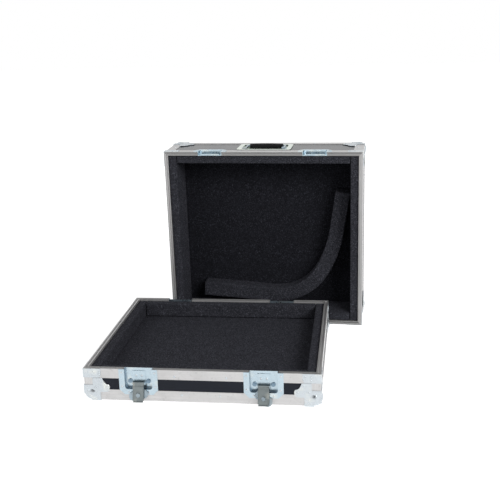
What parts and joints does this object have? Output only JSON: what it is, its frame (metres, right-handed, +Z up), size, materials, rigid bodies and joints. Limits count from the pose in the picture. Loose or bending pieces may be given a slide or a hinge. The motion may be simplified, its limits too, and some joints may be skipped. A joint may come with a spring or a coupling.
{
  "type": "transport case",
  "caption": "Foam-lined transport case opened in two halves, the deep half standing and the lid lying before it, with butterfly latches and a recessed carrying handle.",
  "frame": {"origin": "on the floor, under the middle of the bounding box of both halves as they stand in the picture", "axes": "+Z up, +Y from the lid towards the back of the standing half, +X to the right as seen from the front"},
  "size_m": [0.7566, 0.8358, 0.5908],
  "materials": {
    "laminated_panel": "plywood faced in black laminate, satin",
    "aluminium_edging": "mill-finish extrusion, faint draw lines",
    "zinc_steel": "pressed steel, bright blue-white zinc plating",
    "foam": "charcoal open-cell foam, matt and speckled",
    "grip_rubber": "moulded black rubber, satin"
  },
  "bodies": {
    "base": {"base_back_panel": "laminated_panel", "base_wall_bottom": "laminated_panel", "base_wall_right": "laminated_panel", "base_wall_top": "laminated_panel", "base_wall_left": "laminated_panel", "base_edge_angles": "aluminium_edging", "base_corner_angles": "aluminium_edging", "base_rim": "aluminium_edging", "base_ball_corners": "zinc_steel", "base_corner_braces": "zinc_steel", "keeper_dishes": "zinc_steel", "keeper_strikes": "zinc_steel", "base_foam_back": "foam", "base_foam_bottom": "foam", "base_foam_right": "foam", "base_foam_top": "foam", "base_foam_left": "foam", "base_foam_strip": "foam", "handle_dish": "zinc_steel", "handle_pins": "zinc_steel"},
    "handle": {"handle_bail": "zinc_steel", "handle_grip": "grip_rubber"},
    "lid": {"lid_panel": "laminated_panel", "lid_wall_front": "laminated_panel", "lid_wall_right": "laminated_panel", "lid_wall_back": "laminated_panel", "lid_wall_left": "laminated_panel", "lid_edge_angles": "aluminium_edging", "lid_corner_angles": "aluminium_edging", "lid_rim": "aluminium_edging", "lid_ball_corners": "zinc_steel", "lid_corner_braces": "zinc_steel", "lid_foam_floor": "foam", "lid_foam_front": "foam", "lid_foam_right": "foam", "lid_foam_back": "foam", "lid_foam_left": "foam", "latch_dishes": "zinc_steel", "latch_brackets": "zinc_steel", "latch_pins": "zinc_steel"},
    "arm_1": {"latch_arm_1": "zinc_steel"},
    "hook_1": {"latch_hook_1": "zinc_steel"},
    "butterfly_1": {"latch_butterfly_1": "zinc_steel"},
    "arm_2": {"latch_arm_2": "zinc_steel"},
    "hook_2": {"latch_hook_2": "zinc_steel"},
    "butterfly_2": {"latch_butterfly_2": "zinc_steel"},
    "arm_3": {"latch_arm_3": "zinc_steel"},
    "hook_3": {"latch_hook_3": "zinc_steel"},
    "butterfly_3": {"latch_butterfly_3": "zinc_steel"},
    "arm_4": {"latch_arm_4": "zinc_steel"},
    "hook_4": {"latch_hook_4": "zinc_steel"},
    "butterfly_4": {"latch_butterfly_4": "zinc_steel"}
  },
  "joints": [
    {"name": "handle_lift", "type": "hinge", "parent": "base", "child": "handle", "pos_m": [0.05287, 0.28939, 0.58132], "axis": [1, 0, 0], "range_deg": [0, 90], "stiffness_Nm_per_rad": 0.12, "springref_deg": -28.65},
    {"name": "lid_lift", "type": "slide", "parent": "base", "child": "lid", "axis": [0, 0, 1], "range_m": [0, 0.3]},
    {"name": "latch_swing_1", "type": "hinge", "parent": "lid", "child": "arm_1", "pos_m": [-0.19631, -0.39581, 0.05551], "axis": [0.9989, 0.0459, 0], "range_deg": [-165, 0]},
    {"name": "latch_turn_1", "type": "hinge", "parent": "arm_1", "child": "butterfly_1", "pos_m": [-0.19595, -0.40382, 0.02557], "axis": [-0.0443, 0.9649, -0.2588], "range_deg": [0, 180]},
    {"name": "latch_draw_1", "type": "slide", "parent": "arm_1", "child": "hook_1", "axis": [0.0119, -0.2585, -0.9659], "range_m": [0, 0.008]},
    {"name": "latch_swing_2", "type": "hinge", "parent": "lid", "child": "arm_2", "pos_m": [0.14133, -0.3803, 0.05551], "axis": [0.9989, 0.0459, 0], "range_deg": [-165, 0]},
    {"name": "latch_turn_2", "type": "hinge", "parent": "arm_2", "child": "butterfly_2", "pos_m": [0.1417, -0.38831, 0.02557], "axis": [-0.0443, 0.9649, -0.2588], "range_deg": [0, 180]},
    {"name": "latch_draw_2", "type": "slide", "parent": "arm_2", "child": "hook_2", "axis": [0.0119, -0.2585, -0.9659], "range_m": [0, 0.008]},
    {"name": "latch_swing_3", "type": "hinge", "parent": "lid", "child": "arm_3", "pos_m": [-0.22279, 0.18058, 0.05551], "axis": [-0.9989, -0.0459, 0], "range_deg": [-165, 0]},
    {"name": "latch_turn_3", "type": "hinge", "parent": "arm_3", "child": "butterfly_3", "pos_m": [-0.22316, 0.1886, 0.02557], "axis": [0.0443, -0.9649, -0.2588], "range_deg": [0, 180]},
    {"name": "latch_draw_3", "type": "slide", "parent": "arm_3", "child": "hook_3", "axis": [-0.0119, 0.2585, -0.9659], "range_m": [0, 0.008]},
    {"name": "latch_swing_4", "type": "hinge", "parent": "lid", "child": "arm_4", "pos_m": [0.11485, 0.19609, 0.05551], "axis": [-0.9989, -0.0459, 0], "range_deg": [-165, 0]},
    {"name": "latch_turn_4", "type": "hinge", "parent": "arm_4", "child": "butterfly_4", "pos_m": [0.11449, 0.20411, 0.02557], "axis": [0.0443, -0.9649, -0.2588], "range_deg": [0, 180]},
    {"name": "latch_draw_4", "type": "slide", "parent": "arm_4", "child": "hook_4", "axis": [-0.0119, 0.2585, -0.9659], "range_m": [0, 0.008]}
  ],
  "couplings": [
    {"joint": "latch_draw_1", "follows": "latch_turn_1", "m_per_rad": 0.0025465},
    {"joint": "latch_draw_2", "follows": "latch_turn_2", "m_per_rad": 0.0025465},
    {"joint": "latch_draw_3", "follows": "latch_turn_3", "m_per_rad": 0.0025465},
    {"joint": "latch_draw_4", "follows": "latch_turn_4", "m_per_rad": 0.0025465}
  ]
}
